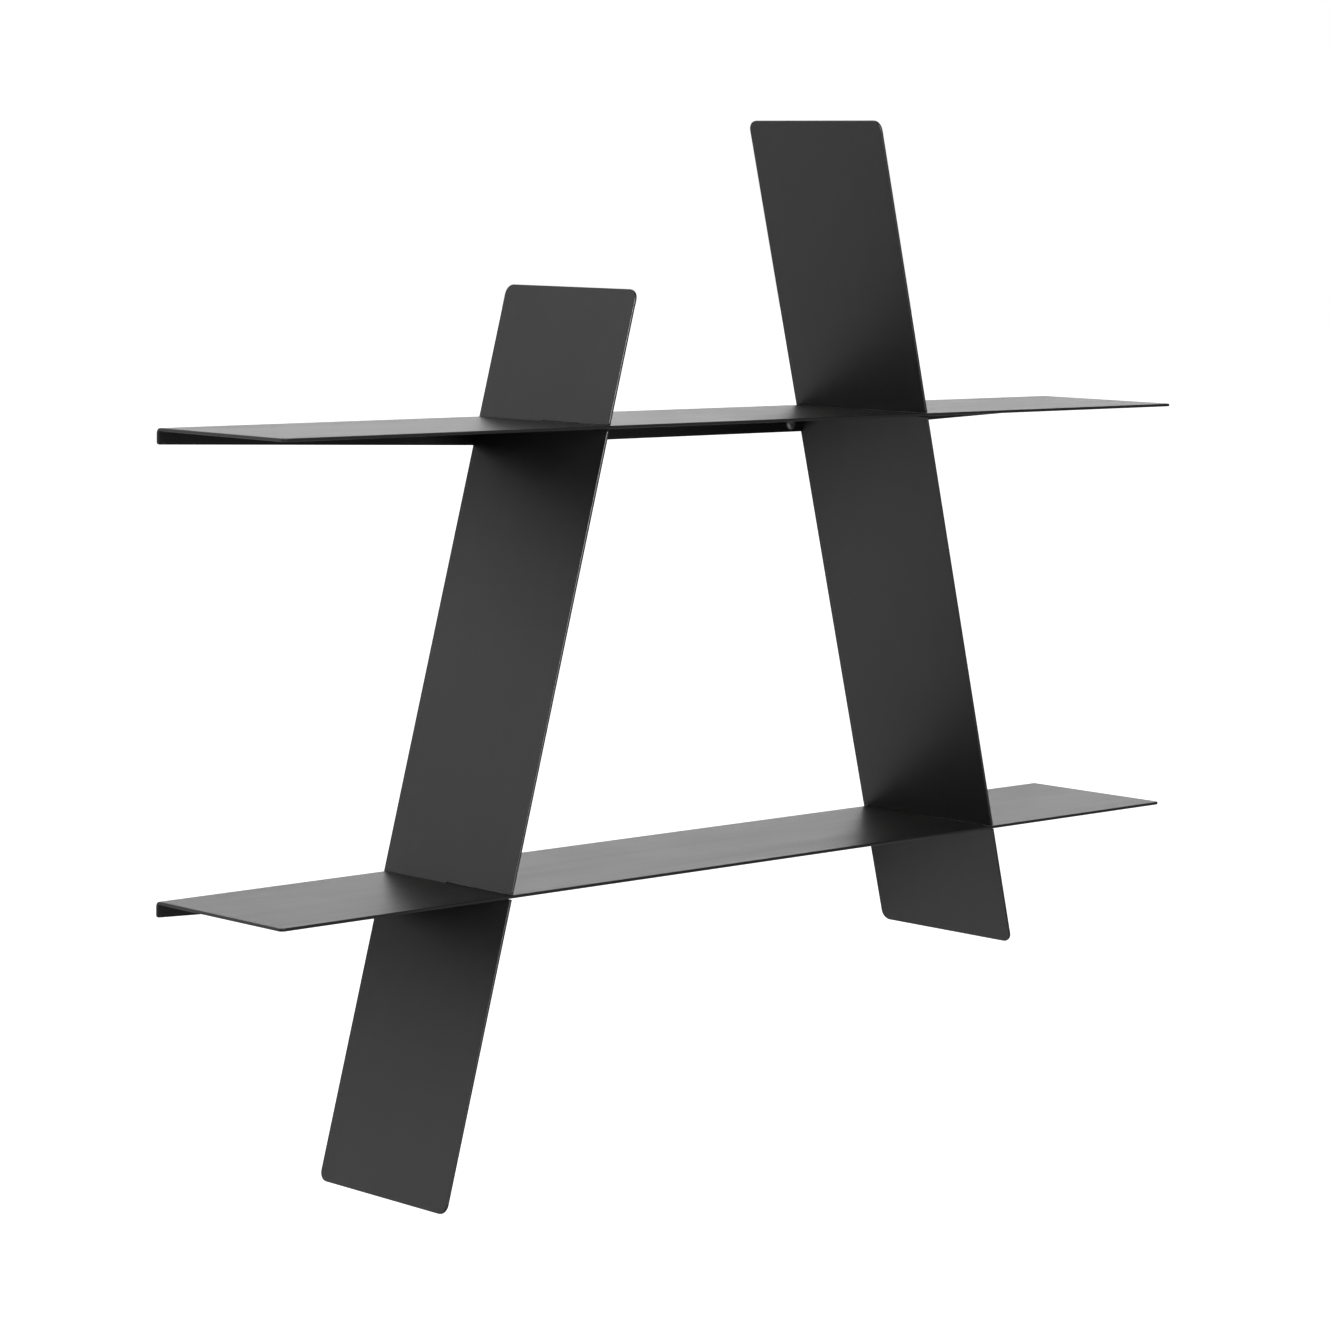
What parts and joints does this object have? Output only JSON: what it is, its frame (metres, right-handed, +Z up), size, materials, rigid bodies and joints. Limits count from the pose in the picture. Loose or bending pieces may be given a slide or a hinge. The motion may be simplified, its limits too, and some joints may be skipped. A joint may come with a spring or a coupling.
{
  "type": "wall shelf",
  "caption": "Wall shelf of flat black sheet metal: long shelves with a bent rear flange, slotted crosswise into leaning uprights.",
  "frame": {"origin": "on the wall plane, midway along the upper shelf's rear flange at the height of its screws", "axes": "+X to the right along the wall, +Y into the wall, +Z up; the front of the shelf faces -Y"},
  "size_m": [1, 0.1772, 0.8332],
  "materials": {
    "powder_coat": "fine-textured satin black powder coat",
    "screw_finish": "satin black zinc"
  },
  "bodies": {
    "root": {"upper_shelf": "powder_coat", "lower_shelf": "powder_coat", "left_upright": "powder_coat", "right_upright": "powder_coat", "upper_left_screw": "screw_finish", "upper_right_screw": "screw_finish", "lower_left_screw": "screw_finish", "lower_right_screw": "screw_finish"}
  },
  "joints": []
}
